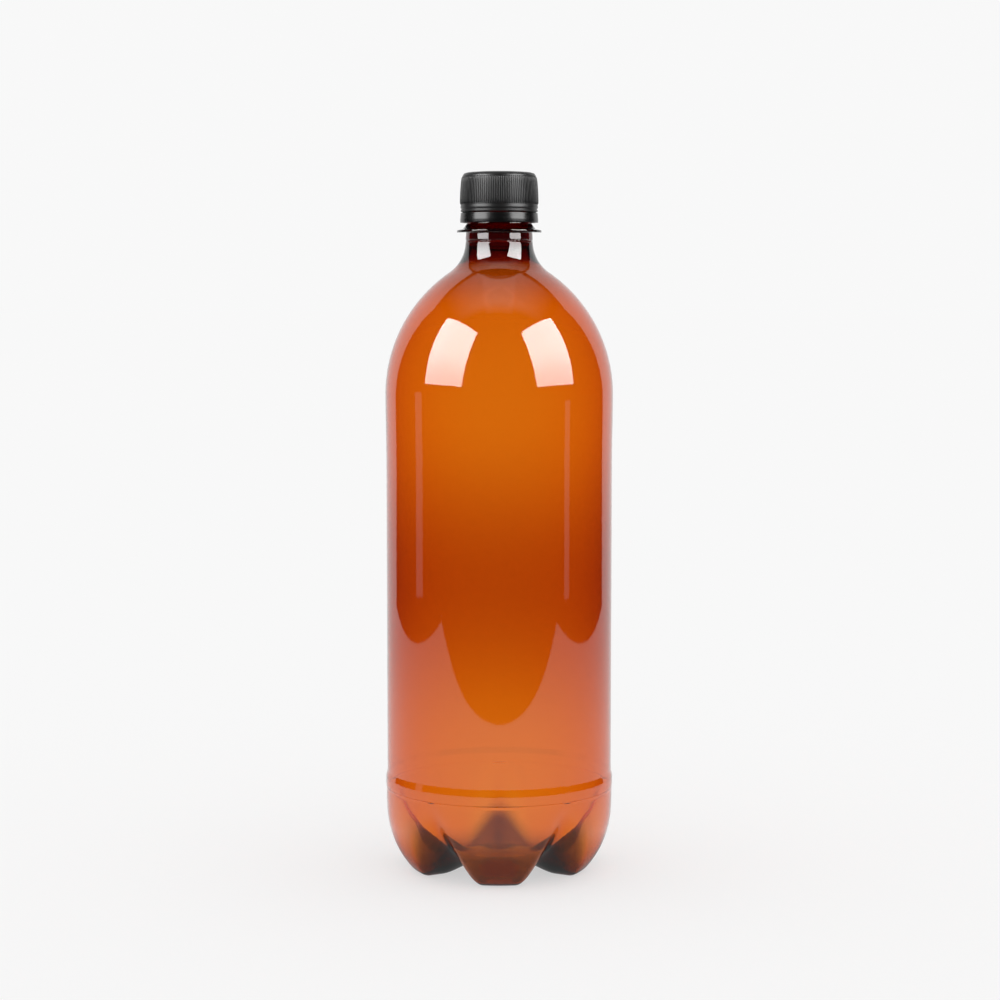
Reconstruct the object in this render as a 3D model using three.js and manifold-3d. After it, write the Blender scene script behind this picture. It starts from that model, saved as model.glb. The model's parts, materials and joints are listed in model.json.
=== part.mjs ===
// A blown PET drinks bottle of about 1.25 litres with a 28 mm screw neck, and its two-piece screw cap.
// Four separate pieces: the bottle, the cap shell, the sealing liner inside it and the tamper band below it.
// Millimetres, +Z up. The origin is on the floor under the bottle's axis, and one of its feet points to -Y.

import * as THREE from 'three';
import { mergeVertices } from 'three/addons/utils/BufferGeometryUtils.js';
import Module from 'manifold-3d';

const wasm = await Module();
wasm.setup();

// ---- Driving dimensions -------------------------------------------------------------------------

const segments = 40;                 // facets around every round piece, a multiple of 4 and of footCount
const pieceGap = 0.3;                // gap between pieces that touch

// Body of the bottle
const panelRadius = 44.05;           // label panel, a plain cylinder
const panelBottomZ = 39.6;
const panelTopZ = 165;
const bumperRadius = 44.6;           // band that stands proud under the label panel
const bumperTopZ = 37.4;
const bumperBottomZ = 34;
const shoulderRadius = 44.35;        // widest ring above the label panel
const shoulderZ = 187;
const shoulderArc = 57.3;            // radius of the domed shoulder's profile
const wall = 0.5;
const baseWall = 2.0;                // wall in the middle of the base
const baseThickRadius = 20;          // the base's wall thins out between these two radii
const baseThinRadius = 36;

// Base: a round bottom that shows as the straps, with a low dome in its middle, and feet with flat pads
const footCount = 5;
const bottomTopZ = 37.8;             // middle of the round bottom's curve
const bottomDip = 35.5;
const domeLift = 2.2;
const domeRadius = 16;
const archStartRadius = 9;           // where a foot's inner arch leaves the centre
const padInnerRadius = 26;
const padOuterRadius = 31;
const footCornerRadius = 6;
const footCornerAngle = 50;          // slope in degrees where the foot's corner meets the heel
const heelTopAngle = 86;
const heelTopRadius = 44.15;
const strapTopRadius = 44.45;
const strapTopZ = 33;
const padHalfAngle = 11;             // half of a foot's flat width at the floor, in degrees
const footTopHalfAngle = 26;         // the same at the top of the foot

// Neck below the support ring
const neckRadius = 13.04;
const neckFillet = 14.6;
const boreRadius = 10.87;
const boreFillet = 13.2;

// Neck finish: support ring, tamper bead, thread and lip
const ringBottomZ = 249.6;
const ringRadius = 16.4;
const ringEdge = 0.9;                // thickness of the ring at its rim
const coneRadius = 14.2;             // the cone on which the tamper band lands
const coneBottomZ = 251.0;
const coneTopZ = 253.0;
const waistRadius = 12.55;
const beadRadius = 14.0;
const beadBottomZ = 256.2;
const beadTopZ = 257.0;
const beadConeTopZ = 258.6;
const rootRadius = 12.47;            // wall at the root of the thread
const lipZ = ringBottomZ + 21;
const lipRound = 0.45;

// Screw thread: one right-handed start
const pitch = 3.175;
const threadTurns = 1.8;
const threadTopDrop = 1.9;           // from the lip to the middle of the thread's upper end
const threadCrestRadius = 13.715;
const threadRootWidth = 2.0;
const threadCrestWidth = 0.9;
const threadRunOut = 3;              // facets over which an end of a thread rises
const ventCount = 4;
const ventWidth = 2.2;
const ventDepth = 2;
const ventHeight = 20;

// Cap shell and liner
const linerThickness = 0.6;
const linerRadius = 13.4;
const linerBottomZ = lipZ + pieceGap;
const plateBottomZ = linerBottomZ + linerThickness + pieceGap;
const plateThickness = 1.2;
const capTopZ = plateBottomZ + plateThickness;
const capInnerRadius = 14.0;
const capThreadCrest = 12.78;
const capThreadRootWidth = 1.7;
const capThreadCrestWidth = 0.7;
const capTopRadius = 14.65;
const capTopRound = 2.0;
const capSkirtRadius = 15.23;
const skirtBottomZ = 259.9;
const grooveRadius = 14.85;
const grooveZ = 259.3;
const capBeadRadius = 15.0;
const capBeadHeight = 0.8;
const capBottomZ = 257.9;
const bridgeCount = 12;
const bridgeWidth = 0.7;
const bridgeHeight = 0.2;
const bridgeDepth = 0.5;
const bridgeOverlap = 0.2;

// Tamper band
const seam = 0.4;                    // the cut between cap shell and band
const bandTopZ = capBottomZ - seam;
const bandBottomZ = 253.45;
const bandTopRadius = 14.94;
const bandBottomRadius = 15.14;
const bandInnerRadius = 14.22;
const hookTipRadius = 13.05;         // the inner hook that catches under the bottle's bead
const hookTopZ = 255.65;
const hookBottomZ = 254.45;

const amberPlastic = { color: 0xb5560f, roughness: 0.08, metalness: 0 };
const blackPlastic = { color: 0x17171a, roughness: 0.42, metalness: 0 };
const linerPlastic = { color: 0xd9d6cc, roughness: 0.6, metalness: 0 };

// ---- Small helpers ------------------------------------------------------------------------------

const radians = THREE.MathUtils.degToRad;
const lerp = THREE.MathUtils.lerp;
const smooth = (t) => THREE.MathUtils.smoothstep(t, 0, 1);
const point = (r, z) => new THREE.Vector2(r, z);

// Points on an arc in the profile plane. Angle 0 points away from the axis, 90 points up.
function arc(centreR, centreZ, radius, fromAngle, toAngle, steps) {
  const points = [];
  for (let k = 0; k <= steps; k++) {
    const angle = radians(lerp(fromAngle, toAngle, k / steps));
    points.push(point(centreR + radius * Math.cos(angle), centreZ + radius * Math.sin(angle)));
  }
  return points;
}

// A round piece about +Z. Its closed profile runs up the outside and down the inside.
function revolve(profile) {
  const geometry = new THREE.LatheGeometry(profile, segments);
  geometry.rotateX(Math.PI / 2);
  return geometry;
}

function toSolid(geometry) {
  const bare = geometry.clone();
  bare.deleteAttribute('normal');
  bare.deleteAttribute('uv');
  const merged = mergeVertices(bare, 1e-4);
  const triangles = [];
  for (let t = 0; t < merged.index.count; t += 3) {
    const [a, b, c] = [0, 1, 2].map((k) => merged.index.getX(t + k));
    if (a !== b && b !== c && c !== a) triangles.push(a, b, c);
  }
  return new wasm.Manifold(new wasm.Mesh({
    numProp: 3,
    vertProperties: new Float32Array(merged.attributes.position.array),
    triVerts: new Uint32Array(triangles),
  }));
}

function toGeometry(solid) {
  const mesh = solid.getMesh();
  const geometry = new THREE.BufferGeometry();
  geometry.setAttribute('position', new THREE.BufferAttribute(mesh.vertProperties, 3));
  geometry.setIndex(new THREE.BufferAttribute(mesh.triVerts, 1));
  geometry.computeVertexNormals();
  return geometry;
}

function piece(name, geometry, look) {
  const mesh = new THREE.Mesh(geometry, new THREE.MeshStandardMaterial(look));
  mesh.name = name;
  return mesh;
}

// A block that stands across a radius: width along the rim, depth along the radius.
function radialBlock(width, depth, height, radius, z, angle) {
  const block = new THREE.BoxGeometry(width, depth, height);
  block.translate(0, -radius, z);
  block.rotateZ(angle);
  return toSolid(block);
}

// ---- Screw thread -------------------------------------------------------------------------------

// A helical ridge on a wall. Its root is sunk into the wall, and both its ends run out into it.
// A crest inside the wall's radius makes an internal thread.
function helicalRidge({ wallRadius, crestRadius, rootWidth, crestWidth, bottomZ, turns }) {
  const outward = Math.sign(crestRadius - wallRadius);
  const sunkRadius = wallRadius - outward * 0.5;
  const endRadius = wallRadius - outward * 0.2;
  const steps = Math.round(turns * segments);
  const runOut = threadRunOut / steps;
  const positions = [];
  for (let k = 0; k <= steps; k++) {
    const along = k / steps;
    const rise = smooth(Math.min(along, 1 - along) / runOut);
    const crest = lerp(endRadius, crestRadius, rise);
    const halfCrest = lerp(rootWidth, crestWidth, rise) / 2;
    const angle = (k / segments) * 2 * Math.PI;
    const z = bottomZ + pitch * turns * along;
    const section = [
      [sunkRadius, z - rootWidth / 2], [crest, z - halfCrest],
      [crest, z + halfCrest], [sunkRadius, z + rootWidth / 2],
    ];
    for (const [r, height] of section) {
      positions.push(r * Math.sin(angle), -r * Math.cos(angle), height);
    }
  }
  const quads = [[0, 1, 2, 3], [3, 2, 1, 0].map((corner) => steps * 4 + corner)];
  for (let k = 0; k < steps; k++) {
    for (let side = 0; side < 4; side++) {
      const next = (side + 1) % 4;
      quads.push([k * 4 + side, k * 4 + 4 + side, k * 4 + 4 + next, k * 4 + next]);
    }
  }
  const index = quads.flatMap(([a, b, c, d]) => (outward > 0 ? [a, b, c, a, c, d] : [a, c, b, a, d, c]));
  const geometry = new THREE.BufferGeometry();
  geometry.setAttribute('position', new THREE.Float32BufferAttribute(positions, 3));
  geometry.setIndex(index);
  return toSolid(geometry);
}

// ---- Bottle -------------------------------------------------------------------------------------

// Each row of the bottle's surface holds its point on a foot and its point on a strap. Above the base the
// two are the same. halfAngle is half the width of the foot's full shape at that row, in degrees.
const plainRow = (p) => ({ foot: p, strap: p, halfAngle: 0 });

const topSweep = Math.acos((bottomTopZ - strapTopZ) / bottomDip);
const bottomRadius = strapTopRadius / Math.sin(topSweep);

function strapPoint(sweep) {
  const r = bottomRadius * Math.sin(sweep);
  const dome = domeLift * (1 - smooth(r / domeRadius));
  return point(r, bottomTopZ - bottomDip * Math.cos(sweep) + dome);
}

function footProfile() {
  const archSteps = 4;
  const archTopZ = strapPoint(Math.asin(archStartRadius / bottomRadius)).y;
  const inner = [];
  for (let k = 0; k <= archSteps; k++) {
    const r = lerp(archStartRadius, padInnerRadius, k / archSteps);
    inner.push(point(r, archTopZ * (0.5 + 0.5 * Math.cos(Math.PI * k / archSteps))));
  }
  const corner = arc(padOuterRadius, footCornerRadius, footCornerRadius, -90, footCornerAngle - 90, 2);
  const heelStart = corner.at(-1);
  const spread = Math.sin(radians(heelTopAngle)) - Math.sin(radians(footCornerAngle));
  const heelRadius = (heelTopRadius - heelStart.x) / spread;
  const heelR = heelStart.x - heelRadius * Math.sin(radians(footCornerAngle));
  const heelZ = heelStart.y + heelRadius * Math.cos(radians(footCornerAngle));
  const heel = arc(heelR, heelZ, heelRadius, footCornerAngle - 90, heelTopAngle - 90, 4);
  return [...inner, ...corner, ...heel.slice(1), point(strapTopRadius, strapTopZ)];
}

function baseRows() {
  const foot = footProfile();
  const padRow = foot.findIndex((p) => p.x === padOuterRadius);
  const padSweep = Math.asin(padOuterRadius / bottomRadius);
  return foot.map((p, row) => {
    const outerShare = Math.max(0, (row - padRow) / (foot.length - 1 - padRow));
    const sweep = row < padRow ? Math.asin(p.x / bottomRadius) : lerp(padSweep, topSweep, outerShare);
    const halfAngle = lerp(padHalfAngle, footTopHalfAngle, Math.min(1, p.y / strapTopZ));
    return { foot: p, strap: strapPoint(sweep), halfAngle: row < padRow ? padHalfAngle : halfAngle };
  });
}

// Moves a line of points to its left, by the thickness given for each point.
function offsetLine(points, thickness) {
  return points.map((p, k) => {
    const before = points[Math.max(0, k - 1)];
    const after = points[Math.min(points.length - 1, k + 1)];
    const along = after.clone().sub(before).normalize();
    return point(p.x - along.y * thickness(p, k), p.y + along.x * thickness(p, k));
  });
}

function wallThickness(r) {
  return lerp(baseWall, wall, smooth((r - baseThickRadius) / (baseThinRadius - baseThickRadius)));
}

function innerRows(rows) {
  const foot = offsetLine(rows.map((row) => row.foot), (p, k) => wallThickness(rows[k].foot.x));
  const strap = offsetLine(rows.map((row) => row.strap), (p, k) => wallThickness(rows[k].foot.x));
  return rows.map((row, k) => ({ foot: foot[k], strap: strap[k], halfAngle: row.halfAngle }));
}

// The domed shoulder and the hollow curve under the neck are two arcs that touch.
function shoulderCurve(inset, radiusAtNeck, fillet, domeSteps, filletSteps) {
  const dome = shoulderArc - inset;
  const domeR = shoulderRadius - shoulderArc;
  const filletR = radiusAtNeck + fillet;
  const rise = Math.sqrt((dome + fillet) ** 2 - (filletR - domeR) ** 2);
  const touch = THREE.MathUtils.radToDeg(Math.atan2(rise, filletR - domeR));
  return [
    ...arc(domeR, shoulderZ, dome, 0, touch, domeSteps),
    ...arc(filletR, shoulderZ + rise, fillet, touch + 180, 180, filletSteps).slice(1),
  ];
}

function neckFinishProfile() {
  return [
    point(neckRadius, ringBottomZ), point(ringRadius, ringBottomZ), point(ringRadius, ringBottomZ + ringEdge),
    point(coneRadius, coneBottomZ), point(waistRadius, coneTopZ), point(waistRadius, beadBottomZ),
    point(beadRadius, beadBottomZ), point(beadRadius, beadTopZ), point(rootRadius, beadConeTopZ),
    point(rootRadius, lipZ - lipRound), point(rootRadius - lipRound, lipZ),
    point(boreRadius + lipRound, lipZ), point(boreRadius, lipZ - lipRound),
  ];
}

// 1 on a foot, 0 on the middle of a strap.
function footShare(angle, halfAngle) {
  const footPitch = 360 / footCount;
  const turn = THREE.MathUtils.euclideanModulo(THREE.MathUtils.radToDeg(angle) + footPitch / 2, footPitch);
  const offFoot = Math.abs(turn - footPitch / 2);
  return 1 - smooth((offFoot - halfAngle) / (footPitch / 2 - halfAngle));
}

function bottleShell() {
  const base = baseRows();
  const body = [
    point(bumperRadius, bumperBottomZ), point(bumperRadius, bumperTopZ),
    point(panelRadius, panelBottomZ), point(panelRadius, panelTopZ),
  ].map(plainRow);
  const lower = [...base, ...body];
  const middle = strapPoint(0);
  const rows = [
    plainRow(middle),
    ...lower,
    ...shoulderCurve(0, neckRadius, neckFillet, 7, 5).map(plainRow),
    ...neckFinishProfile().map(plainRow),
    ...shoulderCurve(wall, boreRadius, boreFillet, 7, 4).reverse().map(plainRow),
    ...innerRows(lower).reverse(),
    plainRow(point(0, middle.y + baseWall)),
  ];
  const geometry = new THREE.LatheGeometry(rows.map((row) => row.foot), segments);
  const position = geometry.attributes.position;
  for (let turn = 0; turn <= segments; turn++) {
    const angle = (turn / segments) * 2 * Math.PI;
    rows.forEach(({ foot, strap, halfAngle }, row) => {
      const { x: r, y: z } = strap.clone().lerp(foot, footShare(angle, halfAngle));
      position.setXYZ(turn * rows.length + row, r * Math.sin(angle), z, r * Math.cos(angle));
    });
  }
  geometry.rotateX(Math.PI / 2);
  return toSolid(geometry);
}

const threadBottomZ = lipZ - threadTopDrop - pitch * threadTurns;

function bottleThread() {
  let ridge = helicalRidge({
    wallRadius: rootRadius, crestRadius: threadCrestRadius, rootWidth: threadRootWidth,
    crestWidth: threadCrestWidth, bottomZ: threadBottomZ, turns: threadTurns,
  });
  for (let k = 0; k < ventCount; k++) {
    const angle = ((k + 0.5) / ventCount) * 2 * Math.PI;
    const ventMiddle = rootRadius - 0.1 + ventDepth / 2;
    ridge = ridge.subtract(radialBlock(ventWidth, ventDepth, ventHeight, ventMiddle, lipZ - 8, angle));
  }
  return ridge;
}

// ---- Cap ----------------------------------------------------------------------------------------

function capBody() {
  const cornerZ = capTopZ - capTopRound;
  return revolve([
    point(0, plateBottomZ), point(capInnerRadius, plateBottomZ), point(capInnerRadius, capBottomZ),
    point(capBeadRadius - 0.15, capBottomZ), point(capBeadRadius, capBottomZ + capBeadHeight / 2),
    point(capBeadRadius, capBottomZ + capBeadHeight), point(grooveRadius, grooveZ),
    point(capSkirtRadius, skirtBottomZ - 0.2), point(capSkirtRadius, skirtBottomZ + 1),
    ...arc(capTopRadius - capTopRound, cornerZ, capTopRound, 0, 90, 4),
    point(0, capTopZ),
  ]);
}

function capThread() {
  return helicalRidge({
    wallRadius: capInnerRadius, crestRadius: capThreadCrest, rootWidth: capThreadRootWidth,
    crestWidth: capThreadCrestWidth, bottomZ: threadBottomZ - pitch / 2, turns: threadTurns,
  });
}

// The stubs of the broken bridges that once joined the band to the cap.
function bridges() {
  const radius = (capInnerRadius + capBeadRadius) / 2;
  const z = capBottomZ + (bridgeOverlap - bridgeHeight) / 2;
  const stubs = [];
  for (let k = 0; k < bridgeCount; k++) {
    const angle = ((k + 0.5) / bridgeCount) * 2 * Math.PI;
    stubs.push(radialBlock(bridgeWidth, bridgeDepth, bridgeHeight + bridgeOverlap, radius, z, angle));
  }
  return stubs;
}

function capLiner() {
  return revolve([
    point(0, linerBottomZ), point(linerRadius, linerBottomZ),
    point(linerRadius, linerBottomZ + linerThickness), point(0, linerBottomZ + linerThickness),
  ]);
}

function tamperBand() {
  return revolve([
    point(bandInnerRadius, bandBottomZ), point(bandBottomRadius, bandBottomZ),
    point(bandTopRadius, bandTopZ), point(bandInnerRadius, bandTopZ),
    point(bandInnerRadius, hookTopZ), point(hookTipRadius, hookTopZ - 0.1),
    point(hookTipRadius, hookBottomZ + 0.5), point(bandInnerRadius, hookBottomZ),
    point(bandInnerRadius, bandBottomZ),
  ]);
}

// ---- Assembly -----------------------------------------------------------------------------------

const bottleSolid = bottleShell().add(bottleThread());
const capSolid = bridges().reduce((cap, stub) => cap.add(stub), toSolid(capBody()).add(capThread()));

const closure = new THREE.Group();
closure.add(
  piece('cap_shell', toGeometry(capSolid), blackPlastic),
  piece('cap_liner', capLiner(), linerPlastic),
  piece('tamper_band', tamperBand(), blackPlastic),
);

const bottle = new THREE.Group();
bottle.add(piece('bottle_body', toGeometry(bottleSolid), amberPlastic), closure);

export default bottle;
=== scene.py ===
import json
import math

import bpy
import numpy as np
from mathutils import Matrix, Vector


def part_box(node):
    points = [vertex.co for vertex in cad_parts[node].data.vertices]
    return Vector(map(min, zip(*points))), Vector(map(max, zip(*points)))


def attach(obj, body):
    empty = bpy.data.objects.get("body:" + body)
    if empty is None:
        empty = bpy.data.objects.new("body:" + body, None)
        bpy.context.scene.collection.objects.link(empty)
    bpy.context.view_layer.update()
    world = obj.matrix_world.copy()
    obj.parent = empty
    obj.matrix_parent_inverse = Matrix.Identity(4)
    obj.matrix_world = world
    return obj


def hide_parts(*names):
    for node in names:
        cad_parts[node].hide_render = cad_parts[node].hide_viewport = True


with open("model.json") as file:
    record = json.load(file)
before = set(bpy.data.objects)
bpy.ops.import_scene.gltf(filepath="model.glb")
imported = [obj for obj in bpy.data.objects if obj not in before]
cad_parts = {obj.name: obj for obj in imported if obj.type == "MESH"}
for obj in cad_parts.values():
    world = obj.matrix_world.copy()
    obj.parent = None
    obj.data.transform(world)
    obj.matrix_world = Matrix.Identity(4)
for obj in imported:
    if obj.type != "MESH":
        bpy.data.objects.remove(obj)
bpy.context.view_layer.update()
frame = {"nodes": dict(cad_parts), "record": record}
print("frame loaded:", sorted(frame["nodes"]))

mm = 0.001
record = frame["record"]
mounts = {mount["name"]: mount["pos_m"] for mount in record["mounts"]}
_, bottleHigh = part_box("bottle_body")
capLow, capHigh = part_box("cap_shell")
linerLow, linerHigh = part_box("cap_liner")
bandLow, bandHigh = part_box("tamper_band")


# a socket that can be used in sums; each operation adds its Math node
class Wire:
    def __init__(self, graph, socket):
        self.graph = graph
        self.socket = socket

    def math(self, operation, first, second=None):
        inputs = {0: first}
        if second is not None:
            inputs[1] = second
        return self.graph.node("ShaderNodeMath", {"operation": operation}, inputs)

    def __add__(self, other): return self.math("ADD", self, other)
    def __radd__(self, other): return self.math("ADD", other, self)
    def __sub__(self, other): return self.math("SUBTRACT", self, other)
    def __rsub__(self, other): return self.math("SUBTRACT", other, self)
    def __mul__(self, other): return self.math("MULTIPLY", self, other)
    def __rmul__(self, other): return self.math("MULTIPLY", other, self)
    def __truediv__(self, other): return self.math("DIVIDE", self, other)
    def __pow__(self, other): return self.math("POWER", self, other)
    def __rpow__(self, other): return self.math("POWER", other, self)
    def __abs__(self): return self.math("ABSOLUTE", self)


# a node tree that is filled in by calls
class Graph:
    def __init__(self, tree):
        self.tree = tree
        tree.nodes.clear()

    # any node: its type, the settings that are set first, and the values or wires of its sockets
    def node(self, kind, settings=None, inputs=None, output=0):
        made = self.tree.nodes.new(kind)
        for name, value in (settings or {}).items():
            setattr(made, name, value)
        for key, value in (inputs or {}).items():
            if isinstance(value, Wire):
                self.tree.links.new(value.socket, made.inputs[key])
            else:
                made.inputs[key].default_value = value
        return Wire(self, made.outputs[output]) if made.outputs else made

    def place(self):
        return self.node("ShaderNodeTexCoord", output="Object")

    def axes(self, vector):
        split = self.node("ShaderNodeSeparateXYZ", inputs={0: vector}).socket.node
        return [Wire(self, socket) for socket in split.outputs]

    # 0 below the first value, 1 above the second, smooth between
    def ramp(self, value, start, end):
        inputs = {"Value": value, "From Min": start, "From Max": end}
        return self.node("ShaderNodeMapRange", {"interpolation_type": "SMOOTHSTEP"}, inputs)

    def noise(self, vector, scale, detail=2.0, roughness=0.5):
        inputs = {"Vector": vector, "Scale": scale, "Detail": detail, "Roughness": roughness}
        return self.node("ShaderNodeTexNoise", inputs=inputs)

    def colour(self, red, green, blue):
        return self.node("ShaderNodeCombineColor", inputs={0: red, 1: green, 2: blue})

    def bump(self, height, distance, strength=1.0):
        inputs = {"Height": height, "Distance": distance, "Strength": strength}
        return self.node("ShaderNodeBump", inputs=inputs)

    def principled(self, inputs):
        shader = self.node("ShaderNodeBsdfPrincipled", inputs=inputs)
        self.node("ShaderNodeOutputMaterial", inputs={"Surface": shader})


def newMaterial(name):
    material = bpy.data.materials.new(name)
    material.use_nodes = True
    return material, Graph(material.node_tree)


# points on an arc in the profile plane (radius, height); angle 0 points away from the axis, 90 up
def arc(centreR, centreZ, radius, fromDeg, toDeg, steps):
    angles = np.radians(np.linspace(fromDeg, toDeg, steps + 1))
    return np.column_stack([centreR + radius * np.cos(angles), centreZ + radius * np.sin(angles)])


# points along straight lines through the corners, no further apart than step
def line(corners, step):
    points = [np.array(corners[0], float)]
    for start, end in zip(corners, corners[1:]):
        start, end = np.array(start, float), np.array(end, float)
        count = max(1, math.ceil(np.linalg.norm(end - start) / step))
        points += [start + (end - start) * k / count for k in range(1, count + 1)]
    return np.array(points)


# straight lines with each inner corner rounded to the given radius
def rounded(corners, radius, step, cornerSteps=5):
    corners = [np.array(c, float) for c in corners]
    path = [corners[0]]
    for before, here, after in zip(corners, corners[1:], corners[2:]):
        toBefore, toAfter = before - here, after - here
        lengthBefore, lengthAfter = np.linalg.norm(toBefore), np.linalg.norm(toAfter)
        toBefore, toAfter = toBefore / lengthBefore, toAfter / lengthAfter
        half = math.acos(np.clip(np.dot(toBefore, toAfter), -1, 1)) / 2
        cut = min(radius / math.tan(half), 0.45 * lengthBefore, 0.45 * lengthAfter)
        first, last = here + toBefore * cut, here + toAfter * cut
        for k in range(cornerSteps + 1):
            t = k / cornerSteps
            path.append((1 - t) ** 2 * first + 2 * t * (1 - t) * here + t ** 2 * last)
    path.append(corners[-1])
    return line(path, step)


def smooth(t):
    t = np.clip(t, 0, 1)
    return t * t * (3 - 2 * t)


# 0 to 1 at an even slope, with both ends rounded over the given share of the way
def evenSlope(t, ends):
    t = np.clip(t, 0, 1)
    low, high = np.minimum(t, ends), np.maximum(t - (1 - ends), 0)
    even = np.clip(t - ends, 0, 1 - 2 * ends)
    return (low ** 2 / (2 * ends) + even + high - high ** 2 / (2 * ends)) / (1 - ends)


# rings of radii and heights round the axis (rows by turns), closed by a pole at each end that is given
def revolvedMesh(name, radii, heights, turns, bottomPole=None, topPole=None, closed=False):
    angles = np.arange(turns) * 2 * math.pi / turns
    rings = np.stack([radii * np.sin(angles), -radii * np.cos(angles), heights + 0 * angles], axis=2)
    count = len(rings)
    points = rings.reshape(-1, 3).tolist()
    faces = []
    for row in range(count if closed else count - 1):
        here, above = row * turns, (row + 1) % count * turns
        for k in range(turns):
            after = (k + 1) % turns
            faces.append((here + k, here + after, above + after, above + k))
    for pole, row, up in ((bottomPole, 0, False), (topPole, count - 1, True)):
        if pole is not None:
            points.append((0, 0, pole))
            ends = [(row * turns + k, row * turns + (k + 1) % turns) for k in range(turns)]
            faces += [(a, b, len(points) - 1) if up else (b, a, len(points) - 1) for a, b in ends]
    mesh = bpy.data.meshes.new(name)
    mesh.from_pydata(points, [], faces)
    mesh.polygons.foreach_set("use_smooth", [True] * len(faces))
    mesh.update()
    piece = bpy.data.objects.new(name, mesh)
    bpy.context.scene.collection.objects.link(piece)
    return piece


# the part of a piece of profile that is the same all the way round
def plain(profile, turns):
    profile = np.asarray(profile)
    ones = np.ones((1, turns))
    return profile[:, :1] * ones, profile[:, 1:2] * ones


def finishPiece(piece, material, body, node):
    piece.data.materials.clear()
    piece.data.materials.append(material)
    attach(piece, body)
    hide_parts(node)
    return piece


threadPitch = 3.175 * mm
threadTurns = 1.8
threadTopDrop = 1.9 * mm

thread = {
    "pitch": threadPitch,
    "turns": threadTurns,
    "bottomZ": bottleHigh.z - threadTopDrop - threadTurns * threadPitch,
    "rowStep": 0.14 * mm,
    "runOut": 0.07,
    "ventCount": 4,
    "ventHalf": 1.1 * mm,
    "ventEdge": 0.35 * mm,
    "crestRadius": 13.715 * mm,
    "neckRoot": 2.0 * mm,
    "neckCrest": 0.9 * mm,
    "capRoot": 1.7 * mm,
    "capCrest": 0.7 * mm,
}


# how far up a helical ridge each point of a wall stands, from 0 at its root to 1 on its crest
def threadLift(heights, turns, bottomZ, rootWidth, crestWidth):
    along = np.arange(turns)[None, :] / turns
    place = (heights - bottomZ) / thread["pitch"]
    nearest = along + np.round(place - along)
    inside = (nearest >= 0) & (nearest <= thread["turns"])
    off = np.abs(place - nearest) * thread["pitch"]
    flank = smooth((rootWidth / 2 - off) / (rootWidth / 2 - crestWidth / 2))
    ends = smooth(np.minimum(nearest, thread["turns"] - nearest) / thread["runOut"])
    return np.where(inside, flank * ends, 0)


# 1 between the vent slots, 0 in them
def ventMask(turns):
    along = np.arange(turns)[None, :] / turns * thread["ventCount"] - 0.5
    off = np.abs(along - np.round(along)) / thread["ventCount"] * 2 * math.pi * thread["crestRadius"]
    return smooth((off - thread["ventHalf"]) / thread["ventEdge"] + 0.5)


bottle = {
    "turns": 240,
    "bumperRadius": bottleHigh.x,
    "panelRadius": 44.05 * mm,
    "bumperTopZ": 36.8 * mm,
    "stepEnds": 0.15,
    "bumperBottomZ": 34.5 * mm,
    "panelBottomZ": 39.8 * mm,
    "panelTopZ": 160 * mm,
    "partingZ": 33.2 * mm,
    "partingHeight": 0.07 * mm,
    "partingHalfWidth": 0.25 * mm,
    "shoulderRadius": 44.35 * mm,
    "shoulderZ": 187 * mm,
    "shoulderArc": 57.3 * mm,
    "wall": 0.5 * mm,
    "baseWall": 2.4 * mm,
    "baseThickRadius": 20 * mm,
    "baseThinRadius": 36 * mm,
    "feet": 5,
    "domeLift": 2.2 * mm,
    "domeRadius": 16 * mm,
    "archStart": 9 * mm,
    "padInner": 26 * mm,
    "padOuter": 31 * mm,
    "cornerRadius": 6 * mm,
    "cornerDeg": 50,
    "heelDeg": 86,
    "heelRadiusTop": 44.15 * mm,
    "strapTopZ": 33.0 * mm,
    "strapTopRadius": 44.45 * mm,
    "strapMiddleZ": 37.8 * mm,
    "strapDip": 35.5 * mm,
    "padHalfDeg": 11,
    "footTopHalfDeg": 26,
    "gateRadius": 2.2 * mm,
    "gateHeight": 0.8 * mm,
    "neckRadius": 13.04 * mm,
    "neckFillet": 14.6 * mm,
    "boreRadius": 10.87 * mm,
    "thickenZ": (237 * mm, 247 * mm),
    "neckPartingZ": 246.6 * mm,
    "neckPartingDepth": 0.16 * mm,
    "neckDraft": 0.14 * mm,
    "ringRadius": 16.4 * mm,
    "ringThickness": 0.9 * mm,
    "ringBottomZ": mounts["support_ring"][2],
    # radius, and height over the ring's underside, from the cone that the band rests on to the thread's root
    "overRing": ((14.2, 1.4), (12.55, 3.4), (12.55, 6.6), (14.0, 6.6), (14.0, 7.4), (12.47, 9.0)),
    "rootRadius": 12.47 * mm,
    "edgeRound": 0.22 * mm,
    "lipRound": 0.45 * mm,
    "lipZ": bottleHigh.z,
}


# a strap between two feet is part of a round bottom, with a low dome in the middle
topSweep = math.acos((bottle["strapMiddleZ"] - bottle["strapTopZ"]) / bottle["strapDip"])
strapRadius = bottle["strapTopRadius"] / math.sin(topSweep)


def strapAt(sweep):
    b = bottle
    radii = strapRadius * np.sin(sweep)
    dome = b["domeLift"] * (1 - smooth(radii / b["domeRadius"]))
    return np.column_stack([radii, b["strapMiddleZ"] - b["strapDip"] * np.cos(sweep) + dome])


def strapAtRadius(radii):
    return strapAt(np.arcsin(np.clip(np.asarray(radii) / strapRadius, 0, 1)))


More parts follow.
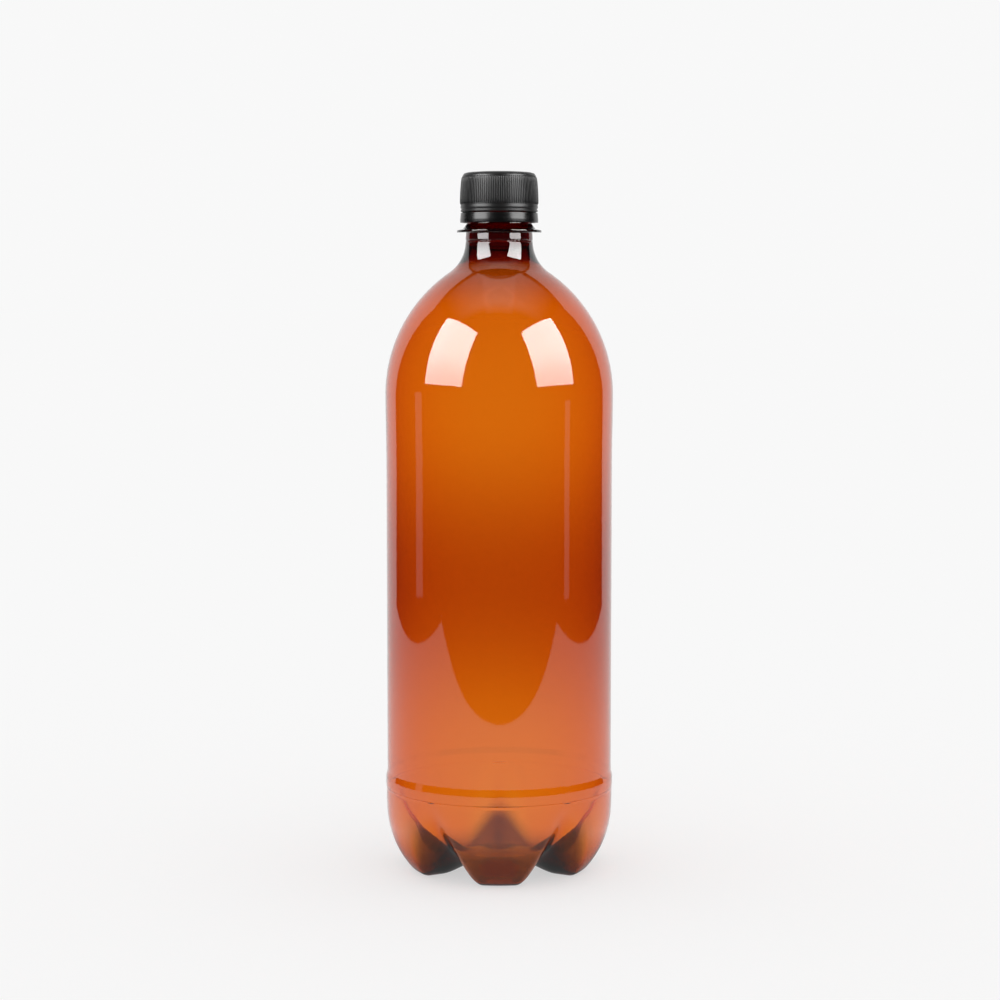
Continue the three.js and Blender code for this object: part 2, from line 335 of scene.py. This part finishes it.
def footProfile():
    b = bottle
    step = np.linspace(0, 1, 27)
    archTop = strapAtRadius([b["archStart"]])[0, 1]
    arch = np.column_stack([
        b["archStart"] + (b["padInner"] - b["archStart"]) * step,
        archTop * (0.5 + 0.5 * np.cos(math.pi * step)),
    ])
    dome = strapAtRadius(np.linspace(b["gateRadius"], b["archStart"], 7))
    pad = line([(b["padInner"], 0), (b["padOuter"], 0)], 1.3 * mm)
    corner = arc(b["padOuter"], b["cornerRadius"], b["cornerRadius"], -90, b["cornerDeg"] - 90, 12)
    startR, startZ = corner[-1]
    low, high = math.radians(b["cornerDeg"]), math.radians(b["heelDeg"])
    heelRadius = (b["heelRadiusTop"] - startR) / (math.sin(high) - math.sin(low))
    heel = arc(startR - heelRadius * math.sin(low), startZ + heelRadius * math.cos(low), heelRadius,
               b["cornerDeg"] - 90, b["heelDeg"] - 90, 26)
    # from the heel's end, an easy curve up to the band
    endR, endZ = heel[-1]
    t = np.linspace(0, 1, 9)[1:]
    height = b["strapTopZ"] - endZ
    slope = height * math.cos(high) / math.sin(high)
    rise = endR + (b["strapTopRadius"] - endR) * smooth(t) + slope * t * (1 - t) ** 2
    top = np.column_stack([rise, endZ + height * t])
    return np.vstack([dome, arch[1:], pad[1:], corner[1:], heel[1:], top])


# the strap's point and the foot's flat half angle, for each row of the foot's profile
def strapProfile(foot):
    b = bottle
    padRow = int(np.argmin(np.abs(foot[:, 0] - b["padOuter"]) + np.abs(foot[:, 1])))
    length = np.concatenate([[0], np.cumsum(np.linalg.norm(np.diff(foot, axis=0), axis=1))])
    share = np.clip((length - length[padRow]) / (length[-1] - length[padRow]), 0, 1)
    padSweep = math.asin(b["padOuter"] / strapRadius)
    inner = np.arcsin(np.clip(foot[:, 0] / strapRadius, 0, 1))
    sweep = np.where(np.arange(len(foot)) < padRow, inner, padSweep + (topSweep - padSweep) * share)
    climb = np.where(np.arange(len(foot)) < padRow, 0, np.clip(foot[:, 1] / b["strapTopZ"], 0, 1))
    return strapAt(sweep), b["padHalfDeg"] + (b["footTopHalfDeg"] - b["padHalfDeg"]) * climb


# 1 on a foot and 0 on the middle of a strap, for each row and turn
def footShare(halfDeg):
    pitch = 360 / bottle["feet"]
    turn = np.arange(bottle["turns"])[None, :] * 360 / bottle["turns"]
    off = np.abs((turn + pitch / 2) % pitch - pitch / 2)
    return 1 - smooth((off - halfDeg[:, None]) / (pitch / 2 - halfDeg[:, None]))


def offsetLine(points, thickness):
    along = np.gradient(points, axis=0)
    along /= np.linalg.norm(along, axis=1)[:, None]
    return points + np.column_stack([-along[:, 1], along[:, 0]]) * thickness[:, None]


def baseRows(inset):
    foot = footProfile()
    strap, halfDeg = strapProfile(foot)
    if inset:
        b = bottle
        thin = smooth((foot[:, 0] - b["baseThickRadius"]) / (b["baseThinRadius"] - b["baseThickRadius"]))
        thickness = b["baseWall"] + (b["wall"] - b["baseWall"]) * thin
        foot, strap = offsetLine(foot, thickness), offsetLine(strap, thickness)
    share = footShare(halfDeg)
    radii = strap[:, :1] + (foot[:, :1] - strap[:, :1]) * share
    heights = strap[:, 1:2] + (foot[:, 1:2] - strap[:, 1:2]) * share
    return radii, heights


# label panel, with the band that stands proud under it and the parting line of the base mould
def bodyProfile(inset):
    b = bottle
    heights = np.concatenate([
        np.arange(32.8, 33.65, 0.07), np.arange(34.0, 36.6, 0.5),
        np.arange(36.6, 40.2, 0.15), np.arange(41.0, 187, 4.5), [187],
    ]) * mm
    heights = heights[heights > b["strapTopZ"] + 0.02 * mm]
    toBumper = smooth((heights - b["strapTopZ"]) / (b["bumperBottomZ"] - b["strapTopZ"]))
    radii = b["strapTopRadius"] + (b["bumperRadius"] - b["strapTopRadius"]) * toBumper
    radii += (b["panelRadius"] - b["bumperRadius"]) * evenSlope(
        (heights - b["bumperTopZ"]) / (b["panelBottomZ"] - b["bumperTopZ"]), b["stepEnds"])
    radii += (b["shoulderRadius"] - b["panelRadius"]) * smooth(
        (heights - b["panelTopZ"]) / (b["shoulderZ"] - b["panelTopZ"]))
    if inset:
        return np.column_stack([radii - b["wall"], heights])
    ridge = np.clip(1 - np.abs(heights - b["partingZ"]) / b["partingHalfWidth"], 0, 1)
    return np.column_stack([radii + b["partingHeight"] * ridge, heights])


# the domed shoulder and the hollow curve under the neck are two arcs that touch
def shoulderProfile(domeSteps, filletSteps):
    b = bottle
    dome, fillet = b["shoulderArc"], b["neckFillet"]
    domeR = b["shoulderRadius"] - dome
    filletR = b["neckRadius"] + fillet
    rise = math.sqrt((dome + fillet) ** 2 - (filletR - domeR) ** 2)
    touch = math.degrees(math.atan2(rise, filletR - domeR))
    return np.vstack([
        arc(domeR, b["shoulderZ"], dome, 0, touch, domeSteps),
        arc(filletR, b["shoulderZ"] + rise, fillet, touch + 180, 180, filletSteps)[1:],
    ])


# inside, the blown wall thickens to the moulded neck
def shoulderInside():
    b = bottle
    outside = shoulderProfile(26, 22)
    low, high = b["thickenZ"]
    neckWall = b["neckRadius"] - b["boreRadius"]
    thickness = b["wall"] + (neckWall - b["wall"]) * smooth((outside[:, 1] - low) / (high - low))
    bore = line([(b["boreRadius"], b["ringBottomZ"]), (b["boreRadius"], b["lipZ"] - 1.2 * mm)], 5 * mm)
    return np.vstack([offsetLine(outside, thickness), bore])


# from under the support ring over the tamper bead to the foot of the thread
def finishProfile():
    b = bottle
    z = b["ringBottomZ"]
    groove = b["neckPartingZ"]
    grooveRadius = b["neckRadius"] - b["neckPartingDepth"]
    neck = [
        (b["neckRadius"], groove - 0.45 * mm), (grooveRadius, groove - 0.05 * mm),
        (grooveRadius, groove + 0.1 * mm), (b["neckRadius"] + 0.02 * mm, groove + 0.3 * mm),
        (b["neckRadius"] - b["neckDraft"], z), (b["ringRadius"], z),
        (b["ringRadius"], z + b["ringThickness"]),
        *[(radius * mm, z + up * mm) for radius, up in b["overRing"]],
        (b["rootRadius"], thread["bottomZ"] - 1.3 * mm),
    ]
    return rounded(neck, b["edgeRound"], 0.6 * mm)


def neckRows():
    b = bottle
    turns = b["turns"]
    root, lipRound = b["rootRadius"], b["lipRound"]
    heights = np.arange(thread["bottomZ"] - 1.2 * mm, b["lipZ"] - lipRound, thread["rowStep"])
    heights = heights[:, None] * np.ones((1, turns))
    lift = threadLift(heights, turns, thread["bottomZ"], thread["neckRoot"], thread["neckCrest"])
    radii = root + (thread["crestRadius"] - root) * lift * ventMask(turns)
    lip = np.vstack([
        arc(root - lipRound, b["lipZ"] - lipRound, lipRound, 0, 90, 5),
        arc(b["boreRadius"] + lipRound, b["lipZ"] - lipRound, lipRound, 90, 180, 5),
    ])
    lipRadii, lipHeights = plain(lip, turns)
    return np.vstack([radii, lipRadii]), np.vstack([heights, lipHeights])


def makeBottle(material):
    b = bottle
    turns = b["turns"]
    outerCurve = shoulderProfile(34, 18)
    innerCurve = shoulderInside()[::-1]
    innerBase = [rows[::-1] for rows in baseRows(True)]
    blocks = [
        baseRows(False),
        plain(bodyProfile(False), turns),
        plain(outerCurve[1:], turns),
        plain(finishProfile(), turns),
        neckRows(),
        plain(innerCurve, turns),
        plain(bodyProfile(True)[::-1][1:], turns),
        innerBase,
    ]
    radii = np.vstack([block[0] for block in blocks])
    heights = np.vstack([block[1] for block in blocks])
    middle = strapAtRadius([0])[0, 1]
    piece = revolvedMesh("bottle", radii, heights, turns, middle - b["gateHeight"], middle + b["baseWall"])
    print("bottle:", len(radii), "rings,", len(piece.data.polygons), "faces")
    return finishPiece(piece, material, "bottle", "bottle_body")


# the plastic takes up light along the way through the wall; the tints darken it further towards the neck, at
# the thick base and at the edges, and add painted shade in the middle of the body, on the right side and
# under the base
amber = {
    "refraction": 1.575,
    "cloudScale": 22.0,
    "hazeScale": 60.0,
    "waveScale": 16.0,
    "waveHeight": 1.2 * mm,
    "waveStrength": 0.12,
    "passing": (0.957, 0.69, 0.0, 1),
    "density": 5800.0,
    "neckTint": (0.24, 0.14, 0.13),
    "neckZ": (0.219, 0.252),
    # painted shade: the middle of the body is darker by height, though its wall is the same all the way up
    "middleTint": (0.80, 0.60, 0.5),
    "middleZ": 0.112,
    "middleHalf": 0.068,
    # the base's dark tint is partly its thick plastic and partly painted shade from the shadow under the
    # bottle
    "baseTint": (0.16, 0.14, 0.16),
    "baseRadius": (0.030, 0.040),
    "baseZ": (0.012, 0.026),
    # edges darker for the longer way through the wall, with painted shade on the right side and in the middle
    "sideTint": (0.70, 0.64, 0.8),
    "rightShare": 0.35,
    "rightX": 40 * mm,
}


def amberMaterial():
    material, g = newMaterial("amber_pet")
    place = g.place()
    x, y, z = g.axes(place)
    fromAxis = (x * x + y * y) ** 0.5
    side = g.node("ShaderNodeLayerWeight", inputs={"Blend": 0.5}, output="Facing") ** 2.0
    # share of the painted shade in the middle of the body
    middle = 1 - g.ramp(abs(z - amber["middleZ"]), 0.0, amber["middleHalf"])
    # painted shade: the right side is darkened more than the left
    paintedRightShade = 1 + amber["rightShare"] * g.ramp(x, 0.0, amber["rightX"])
    shares = {
        "neckTint": g.ramp(z, *amber["neckZ"]),
        "middleTint": middle,
        # the base is darkened partly for its thick plastic and partly with painted shade from the shadow
        # under it
        "baseTint": (1 - g.ramp(z, *amber["baseZ"])) * (1 - g.ramp(fromAxis, *amber["baseRadius"])),
        # the edges darken for the longer way through the wall; the right side and the middle add painted
        # shade
        "sideTint": side * paintedRightShade * (0.5 + middle),
    }
    cloud = g.noise(place, amber["cloudScale"]) - 0.5
    parts = []
    for k in range(3):
        part = 0.98 + (0.04 + 0.04 * k) * cloud
        for name, share in shares.items():
            part = part * (1 - (1 - amber[name][k]) * share)
        parts.append(part)
    shader = g.node("ShaderNodeBsdfPrincipled", inputs={
        "Base Color": g.colour(*parts),
        "Roughness": 0.015 + 0.02 * g.noise(place, amber["hazeScale"]),
        "IOR": amber["refraction"],
        "Transmission Weight": 1.0,
        "Normal": g.bump(g.noise(place, amber["waveScale"], 1.0), amber["waveHeight"], amber["waveStrength"]),
    })
    absorb = g.node("ShaderNodeVolumeAbsorption", inputs={
        "Color": amber["passing"],
        "Density": amber["density"],
    })
    g.node("ShaderNodeOutputMaterial", inputs={"Surface": shader, "Volume": absorb})
    return material


# the seam between the cap and its band lies this much under the CAD's seam
seamDrop = 0.35 * mm

cap = {
    "turns": 220,
    "ribs": 110,
    "ribWidth": 0.52 * mm,
    "ribHeight": 0.3 * mm,
    "ribCrest": ((260.4, 15.2), (261.5, 15.22), (262.6, 15.2), (265.2, 15.1), (267.5, 14.93), (269.1, 14.8),
                 (270.6, 14.62), (271.2, 14.45)),
    "crown": ((14.12, 1.5), (13.6, 0.7), (12.4, 0.32), (9.0, 0.08), (5.0, 0.0), (2.0, 0.0)),
    "topZ": capHigh.z,
    "bottomZ": capLow.z + 0.2 * mm - seamDrop,
    # radius, and height over the bottom: bead, groove and the flange under the ribs
    "flange": ((14.8, 0.0), (14.92, 0.2), (14.92, 0.7), (14.66, 0.9), (14.66, 1.2),
               (14.98, 1.4), (15.0, 1.8)),
    "mouthHeight": 0.5 * mm,
    "mouthWidth": 0.05 * mm,
    "innerRadius": 14.0 * mm,
    "innerRound": 0.4 * mm,
    "edgeRound": 0.2 * mm,
    "crownRound": 0.5 * mm,
    "threadCrest": 12.78 * mm,
    "plateBottomZ": linerHigh.z + 0.3 * mm,
    "bridges": 12,
    "bridgeWidth": 0.7 * mm,
    "bridgeHeight": 0.2 * mm,
    "bridgeOverlap": 0.15 * mm,
    "bridgeOuter": 14.75 * mm,
    "bridgeInner": 14.25 * mm,
    "bridgeTaper": 0.6,
}


# the shell without its ribs: down the inside with its thread, and up the outside
def capShellRows():
    c = cap
    turns = c["turns"]
    middle = 2 * mm
    wallTop = c["plateBottomZ"] - 1.2 * mm
    inside = rounded([(middle, c["plateBottomZ"]), (c["innerRadius"], c["plateBottomZ"]),
                      (c["innerRadius"], wallTop)], c["innerRound"], 0.9 * mm)
    heights = np.arange(wallTop - 0.1 * mm, c["bottomZ"] + 0.6 * mm, -thread["rowStep"])
    heights = heights[:, None] * np.ones((1, turns))
    threadZ = thread["bottomZ"] - thread["pitch"] / 2
    lift = threadLift(heights, turns, threadZ, thread["capRoot"], thread["capCrest"])
    radii = c["innerRadius"] + (c["threadCrest"] - c["innerRadius"]) * lift
    z = c["bottomZ"]
    wall = np.array(c["ribCrest"])[:, ::-1] * mm - [c["ribHeight"], 0]
    mouth = [(c["innerRadius"], z + c["mouthHeight"]), (c["innerRadius"] + c["mouthWidth"], z)]
    flange = [(radius * mm, z + up * mm) for radius, up in c["flange"]]
    crown = [(radius * mm, c["topZ"] - drop * mm) for radius, drop in c["crown"]]
    outside = np.vstack([
        rounded([*mouth, *flange, tuple(wall[0])], c["edgeRound"], 0.4 * mm),
        wall[1:-1],
        rounded([tuple(wall[-1]), *crown], c["crownRound"], 0.8 * mm),
    ])
    blocks = [plain(inside, turns), (radii, heights), plain(outside, turns)]
    return [np.vstack([block[k] for block in blocks]) for k in (0, 1)]


# one long rounded rib, standing on the wall at the front, with tapered ends
def makeRib():
    c = cap
    crest = np.array(c["ribCrest"]) * mm
    heights = np.concatenate([crest[0, 0] + np.array([0, 0.3, 0.8]) * mm, crest[2:-1, 0], [crest[-1, 0]]])
    size = np.array([0.2, 0.75] + [1.0] * (len(heights) - 4) + [0.8, 0.2])
    width = np.array([-0.5, -0.36, -0.16, 0.16, 0.36, 0.5]) * c["ribWidth"]
    proud = np.array([-0.35, 0.6, 1.0, 1.0, 0.6, -0.35]) * c["ribHeight"]
    points, faces = [], []
    for z, share in zip(heights, size):
        wall = np.interp(z, crest[:, 0], crest[:, 1]) - c["ribHeight"]
        for across, out in zip(width, proud):
            points.append((across, -(wall + (out * share if out > 0 else out)), z))
    sides = len(width)
    for row in range(len(heights) - 1):
        for k in range(sides):
            after = (k + 1) % sides
            here, above = row * sides, (row + 1) * sides
            faces.append((here + k, here + after, above + after, above + k))
    faces.append(tuple(reversed(range(sides))))
    faces.append(tuple(range((len(heights) - 1) * sides, len(heights) * sides)))
    return pieceFrom("rib", points, faces)


def makeBridge():
    c = cap
    half = c["bridgeWidth"] / 2
    low, top = c["bottomZ"] - c["bridgeHeight"], c["bottomZ"] + c["bridgeOverlap"]
    points = []
    for z, taper in ((low, c["bridgeTaper"]), (top, 1.0)):
        for y in (-c["bridgeOuter"], -c["bridgeInner"]):
            points += [(-half * taper, y, z), (half * taper, y, z)]
    faces = [(0, 2, 3, 1), (4, 5, 7, 6), (0, 1, 5, 4), (1, 3, 7, 5), (3, 2, 6, 7), (2, 0, 4, 6)]
    return pieceFrom("bridge", points, faces)


def pieceFrom(name, points, faces):
    mesh = bpy.data.meshes.new(name)
    mesh.from_pydata([tuple(p) for p in points], [], faces)
    mesh.polygons.foreach_set("use_smooth", [True] * len(faces))
    mesh.update()
    piece = bpy.data.objects.new(name, mesh)
    bpy.context.scene.collection.objects.link(piece)
    return piece


# a tree that sets copies of one small shape round the axis, beside the mesh it is given
def aroundTree(name):
    tree = bpy.data.node_groups.new(name, "GeometryNodeTree")
    sockets = {
        "Geometry": "NodeSocketGeometry",
        "Shape": "NodeSocketObject",
        "Count": "NodeSocketInt",
        "Start": "NodeSocketFloat",
        "Material": "NodeSocketMaterial",
    }
    for label, kind in sockets.items():
        tree.interface.new_socket(label, in_out="INPUT", socket_type=kind)
    tree.interface.new_socket("Geometry", in_out="OUTPUT", socket_type="NodeSocketGeometry")
    nodes, link = tree.nodes, tree.links.new
    given = nodes.new("NodeGroupInput")
    points = nodes.new("GeometryNodePoints")
    index = nodes.new("GeometryNodeInputIndex")
    step = nodes.new("ShaderNodeMath")
    step.operation = "DIVIDE"
    step.inputs[0].default_value = 2 * math.pi
    turn = nodes.new("ShaderNodeMath")
    turn.operation = "MULTIPLY_ADD"
    spin = nodes.new("ShaderNodeCombineXYZ")
    toTurn = nodes.new("FunctionNodeEulerToRotation")
    shape = nodes.new("GeometryNodeObjectInfo")
    copies = nodes.new("GeometryNodeInstanceOnPoints")
    real = nodes.new("GeometryNodeRealizeInstances")
    join = nodes.new("GeometryNodeJoinGeometry")
    paint = nodes.new("GeometryNodeSetMaterial")
    out = nodes.new("NodeGroupOutput")
    link(given.outputs["Count"], points.inputs["Count"])
    link(given.outputs["Count"], step.inputs[1])
    link(index.outputs[0], turn.inputs[0])
    link(step.outputs[0], turn.inputs[1])
    link(given.outputs["Start"], turn.inputs[2])
    link(turn.outputs[0], spin.inputs["Z"])
    link(spin.outputs[0], toTurn.inputs[0])
    link(given.outputs["Shape"], shape.inputs["Object"])
    link(points.outputs[0], copies.inputs["Points"])
    link(shape.outputs["Geometry"], copies.inputs["Instance"])
    link(toTurn.outputs[0], copies.inputs["Rotation"])
    link(copies.outputs[0], join.inputs[0])
    link(given.outputs["Geometry"], join.inputs[0])
    link(join.outputs[0], real.inputs[0])
    link(real.outputs[0], paint.inputs["Geometry"])
    link(given.outputs["Material"], paint.inputs["Material"])
    link(paint.outputs[0], out.inputs[0])
    return tree


# runs the tree on a piece and keeps the result as its plain mesh
def setAround(piece, shape, count, start, material):
    tree = aroundTree("around_axis")
    modifier = piece.modifiers.new("around", "NODES")
    modifier.node_group = tree
    values = {"Shape": shape, "Count": count, "Start": start, "Material": material}
    for item in tree.interface.items_tree:
        if item.in_out == "INPUT" and item.name in values:
            modifier[item.identifier] = values[item.name]
    graph = bpy.context.evaluated_depsgraph_get()
    made = bpy.data.meshes.new_from_object(piece.evaluated_get(graph))
    piece.modifiers.remove(modifier)
    old = piece.data
    piece.data = made
    bpy.data.meshes.remove(old)
    bpy.data.objects.remove(shape)


def makeCap(material):
    c = cap
    radii, heights = capShellRows()
    # the rows run down the inside, so the poles are the plate's underside first and its top last
    piece = revolvedMesh("cap", radii, heights, c["turns"], c["plateBottomZ"], c["topZ"])
    setAround(piece, makeRib(), c["ribs"], 0.0, material)
    setAround(piece, makeBridge(), c["bridges"], math.pi / c["bridges"], material)
    print("cap:", len(piece.data.polygons), "faces")
    return finishPiece(piece, material, "cap", "cap_shell")


# each outline is of radii and of heights over the edge it is named for
band = {
    "turns": 200,
    "innerRadius": 14.25 * mm,
    "footHeight": 0.9 * mm,
    "overBottom": ((14.3, 0.0), (15.1, 0.0), (15.12, 1.2)),
    "overTop": ((14.94, -0.6), (14.9, 0.0), (14.25, 0.0)),
    "hook": ((14.22, 2.6), (13.1, 2.15), (13.08, 1.75)),
    "edgeRound": 0.14 * mm,
}


def makeBand(material):
    low, high = bandLow.z, bandHigh.z - seamDrop
    foot = (band["innerRadius"], low + band["footHeight"])
    profile = rounded([
        foot,
        *[(radius * mm, low + up * mm) for radius, up in band["overBottom"]],
        *[(radius * mm, high + up * mm) for radius, up in band["overTop"]],
        *[(radius * mm, low + up * mm) for radius, up in band["hook"]],
        foot,
    ], band["edgeRound"], 0.5 * mm)[:-1]
    radii, heights = plain(profile, band["turns"])
    piece = revolvedMesh("band", radii, heights, band["turns"], closed=True)
    print("band:", len(piece.data.polygons), "faces")
    return finishPiece(piece, material, "band", "tamper_band")


# the lip has pressed a shallow track into the liner
liner = {
    "turns": 160,
    "middle": 1 * mm,
    "track": ((10.4, 0.0), (10.7, 0.08), (12.7, 0.08), (12.9, 0.0)),
    "edgeRound": 0.12 * mm,
}


def makeLiner(material):
    low, high = linerLow.z, linerHigh.z
    radius = linerHigh.x
    profile = rounded([
        (liner["middle"], low),
        *[(r * mm, low + up * mm) for r, up in liner["track"]],
        (radius, low), (radius, high), (liner["middle"], high),
    ], liner["edgeRound"], 1.2 * mm)
    radii, heights = plain(profile, liner["turns"])
    piece = revolvedMesh("liner", radii, heights, liner["turns"], low, high)
    print("liner:", len(piece.data.polygons), "faces")
    return finishPiece(piece, material, "liner", "cap_liner")


capFinish = {"base": 0.002, "roughness": 0.33, "grain": 1500.0}
bandFinish = {"base": 0.001, "roughness": 0.23, "grain": 1100.0}


def blackMaterial(name, base, roughness, grain):
    material, g = newMaterial(name)
    place = g.place()
    wear = g.noise(place, 140.0, 3.0, 0.6)
    fine = g.noise(place, grain, 2.0)
    shade = base * (0.8 + 0.5 * wear)
    g.principled({
        "Base Color": g.colour(shade, shade, shade * 1.08),
        "Roughness": roughness + 0.1 * (wear - 0.5) + 0.05 * fine,
        "IOR": 1.5,
        "Specular IOR Level": 0.4,
        "Normal": g.bump(fine, 0.00004, 0.5),
    })
    return material


def linerMaterial():
    material, g = newMaterial("liner_compound")
    place = g.place()
    cloud = g.noise(place, 90.0, 3.0)
    g.principled({
        "Base Color": g.colour(0.70 + 0.06 * cloud, 0.68 + 0.06 * cloud, 0.62 + 0.05 * cloud),
        "Roughness": 0.55 + 0.1 * cloud,
        "Normal": g.bump(g.noise(place, 900.0), 0.00003, 0.5),
    })
    return material


studio = {
    "white": 0.94,
    "dark": (0.02, 0.02, 0.022, 1),
    "floorRadius": 30.0,
    "floorTurns": 64,
    "floorAlbedo": 0.42,
    "floorGlow": 0.545,
    "tableFrontY": -0.40,
    "tableHalfX": 0.66,
    "backdropY": 0.51,
    "backdropLowHalfX": 0.676,
    "backdropHighHalfX": 0.92,
    "backdropTopZ": 1.05,
    "overheadZ": 1.15,
    "overheadHalfX": 0.9,
    "overheadY": (-0.42, 0.45),
    "softboxDeg": 58.0,
    "softboxHalfWidth": 0.375,
    "softboxLow": (1.0, 0.30),
    "softboxHigh": (0.705, 1.06),
    "softboxGlow": 12.0,
    "stripGlow": 0.55,
    "strips": ((-91.0, -82.0, 0.20), (67.5, 73.5, 0.15)),
    "stripDistance": 0.9,
}


def glowMaterial(name, strength, fade=None):
    material, g = newMaterial(name)
    colour = (1, 1, 1, 1)
    if fade:
        share = fade(g, *g.axes(g.place()))
        colour = g.colour(share, share, share)
    shader = g.node("ShaderNodeEmission", inputs={"Color": colour, "Strength": strength})
    g.node("ShaderNodeOutputMaterial", inputs={"Surface": shader})
    return material


# the softboxes are brightest near their tops, and the ceiling's bounce fades away from the middle
def softboxFade(g, x, y, z):
    return 0.72 + 0.38 * g.ramp(z, 0.3, 0.75)


def ceilingFade(g, x, y, z):
    wide = (1 - g.ramp(abs(x), 0.1, 0.85)) * g.ramp(y, -0.42, -0.2)
    return wide * 0.75 + 0.2 * (1 - g.ramp(abs(x), 0.2, 0.22))


# the floor lies in the bottle's own shade under it
def tableFade(g, x, y, z):
    fromAxis = (x * x + y * y) ** 0.5
    return 0.35 + 0.65 * g.ramp(fromAxis, 0.04, 0.08)


# a flat card that only reflections see
def card(name, corners, material):
    piece = pieceFrom(name, corners, [tuple(range(len(corners)))])
    piece.data.materials.append(material)
    piece.visible_camera = False
    piece.visible_diffuse = False
    piece.visible_transmission = False
    piece.visible_volume_scatter = False
    piece.visible_shadow = False
    return piece


def makeFloor():
    s = studio
    material, g = newMaterial("floor_white")
    grey = s["floorAlbedo"]
    g.principled({
        "Base Color": (grey, grey, grey, 1),
        "Roughness": 1.0,
        "Specular IOR Level": 0.0,
        "Emission Color": (1, 1, 1, 1),
        "Emission Strength": s["floorGlow"],
    })
    turns = s["floorTurns"]
    angles = [k * 2 * math.pi / turns for k in range(turns)]
    edge = [(s["floorRadius"] * math.cos(angle), s["floorRadius"] * math.sin(angle), 0) for angle in angles]
    floor = pieceFrom("floor", edge, [tuple(range(turns))])
    floor.data.materials.append(material)
    floor.visible_glossy = False


def makeCards():
    s = studio
    white = glowMaterial("card_white", s["white"])
    table, low, high = s["tableHalfX"], s["backdropLowHalfX"], s["backdropHighHalfX"]
    front, back, top = s["tableFrontY"], s["backdropY"], s["backdropTopZ"]
    card("table_card", [(-table, front, 0), (table, front, 0), (table, back, 0), (-table, back, 0)],
         glowMaterial("table_glow", s["white"], tableFade))
    card("backdrop_card", [(-low, back, 0), (low, back, 0), (high, back, top), (-high, back, top)], white)
    x, (near, far), z = s["overheadHalfX"], s["overheadY"], s["overheadZ"]
    ceiling = glowMaterial("ceiling_bounce", s["white"], ceilingFade)
    card("overhead_card", [(-x, near, z), (-x, far, z), (x, far, z), (x, near, z)], ceiling)
    pale = glowMaterial("strip_glow", s["stripGlow"])
    for start, end, tall in s["strips"]:
        angles = [math.radians(deg) for deg in (start, end)]
        first, last = [(s["stripDistance"] * math.sin(a), -s["stripDistance"] * math.cos(a)) for a in angles]
        card("strip_card", [(*first, 0), (*last, 0), (*last, tall), (*first, tall)], pale)
    glow = glowMaterial("softbox_glow", s["softboxGlow"], softboxFade)
    for name, side in (("left_softbox", -1), ("right_softbox", 1)):
        angle = math.radians(s["softboxDeg"]) * side
        outX, outY = math.sin(angle), -math.cos(angle)
        corners = []
        for (distance, z), order in ((s["softboxLow"], (-1, 1)), (s["softboxHigh"], (1, -1))):
            for across in order:
                half = across * s["softboxHalfWidth"]
                corners.append((outX * distance - outY * half, outY * distance + outX * half, z))
        card(name, corners, glow)


# white for everything except reflections, which see a dark studio round the cards
def makeWorld():
    world = bpy.data.worlds.new("studio")
    bpy.context.scene.world = world
    world.use_nodes = True
    g = Graph(world.node_tree)
    path = g.node("ShaderNodeLightPath", output="Is Glossy Ray")
    through = Wire(g, path.socket.node.outputs["Is Transmission Ray"])
    white = studio["white"]
    bright = g.node("ShaderNodeBackground", inputs={"Color": (white, white, white, 1)})
    dark = g.node("ShaderNodeBackground", inputs={"Color": studio["dark"]})
    both = g.node("ShaderNodeMixShader", inputs={0: path * (1 - through), 1: bright, 2: dark})
    g.node("ShaderNodeOutputWorld", inputs={"Surface": both})
    world.cycles.sampling_method = "NONE"


camera = {
    "lens": 85.94,
    "distance": 0.9304,
    "height": 0.2264,
    "tiltDeg": 4.96,
    "shift": 0.0008,
}


def makeCamera():
    data = bpy.data.cameras.new("camera")
    data.lens = camera["lens"]
    data.sensor_width = 36
    data.shift_x = camera["shift"]
    view = bpy.data.objects.new("camera", data)
    bpy.context.scene.collection.objects.link(view)
    view.location = (0, -camera["distance"], camera["height"])
    view.rotation_euler = (math.radians(90 - camera["tiltDeg"]), 0, 0)
    bpy.context.scene.camera = view


makeCamera()
makeWorld()
makeFloor()
makeCards()
print("studio set")

makeBottle(amberMaterial())
makeCap(blackMaterial("cap_satin", **capFinish))
makeBand(blackMaterial("band_satin", **bandFinish))
makeLiner(linerMaterial())

scene = bpy.context.scene
scene.view_settings.view_transform = "Standard"
scene.view_settings.look = "None"
